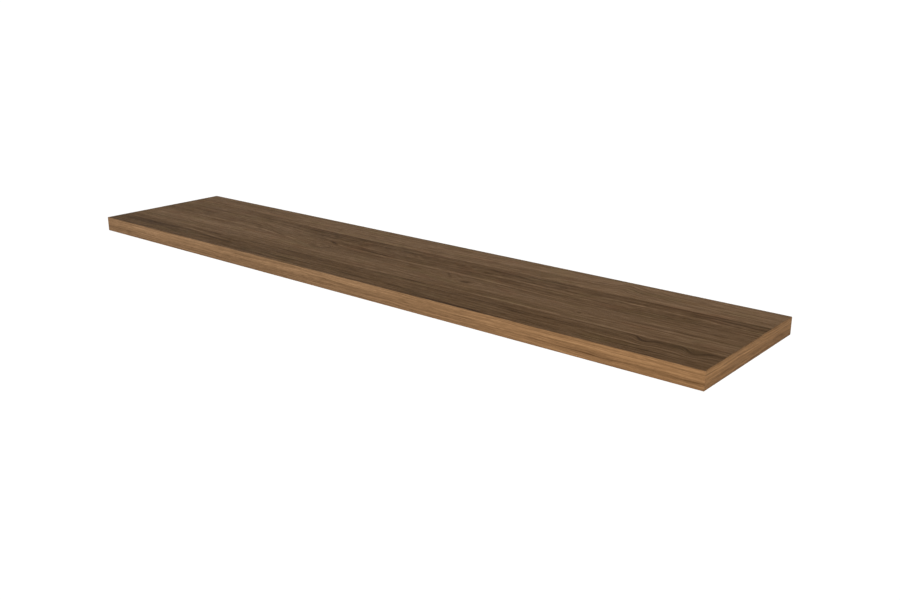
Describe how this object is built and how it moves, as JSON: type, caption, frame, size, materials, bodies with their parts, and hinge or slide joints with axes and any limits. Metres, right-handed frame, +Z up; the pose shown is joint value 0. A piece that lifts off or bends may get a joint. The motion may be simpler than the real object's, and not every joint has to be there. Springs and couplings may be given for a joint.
{
  "type": "wall shelf",
  "caption": "Long walnut-faced wall shelf that slides onto concealed rod brackets and is clamped by lock screws from below.",
  "frame": {"origin": "on the wall's face, midway between the two holes of the centre wall plate, halfway up the shelf's thickness", "axes": "+X along the shelf to the right as seen from the room, +Y into the wall, +Z up"},
  "size_m": [1.2, 0.25, 0.025],
  "materials": {
    "walnut_face": "satin walnut laminate",
    "walnut_edge": "satin walnut edge band",
    "particleboard": "raw pressed wood chips",
    "zinc_plated_steel": "bright zinc plate",
    "black_steel": "black oxide",
    "brass": "turned brass"
  },
  "bodies": {
    "wall_brackets": {"left_wall_plate": "zinc_plated_steel", "centre_wall_plate": "zinc_plated_steel", "right_wall_plate": "zinc_plated_steel", "left_support_rod": "zinc_plated_steel", "centre_support_rod": "zinc_plated_steel", "right_support_rod": "zinc_plated_steel", "left_rod_screw": "black_steel", "centre_rod_screw": "black_steel", "right_rod_screw": "black_steel"},
    "shelf": {"core_board": "particleboard", "top_laminate": "walnut_face", "bottom_laminate": "walnut_face", "front_edge_band": "walnut_edge", "back_edge_band": "walnut_edge", "left_edge_band": "walnut_edge", "right_edge_band": "walnut_edge", "left_lock_insert": "brass", "centre_lock_insert": "brass", "right_lock_insert": "brass"},
    "left_lock_screw": {"left_lock_screw": "black_steel"},
    "centre_lock_screw": {"centre_lock_screw": "black_steel"},
    "right_lock_screw": {"right_lock_screw": "black_steel"}
  },
  "joints": [
    {"name": "shelf_slide", "type": "slide", "parent": "wall_brackets", "child": "shelf", "axis": [0, -1, 0], "range_m": [0, 0.16]},
    {"name": "left_lock_travel", "type": "slide", "parent": "shelf", "child": "left_lock_screw", "axis": [0, 0, -1], "range_m": [0, 0.002]},
    {"name": "centre_lock_travel", "type": "slide", "parent": "shelf", "child": "centre_lock_screw", "axis": [0, 0, -1], "range_m": [0, 0.002]},
    {"name": "right_lock_travel", "type": "slide", "parent": "shelf", "child": "right_lock_screw", "axis": [0, 0, -1], "range_m": [0, 0.002]}
  ]
}
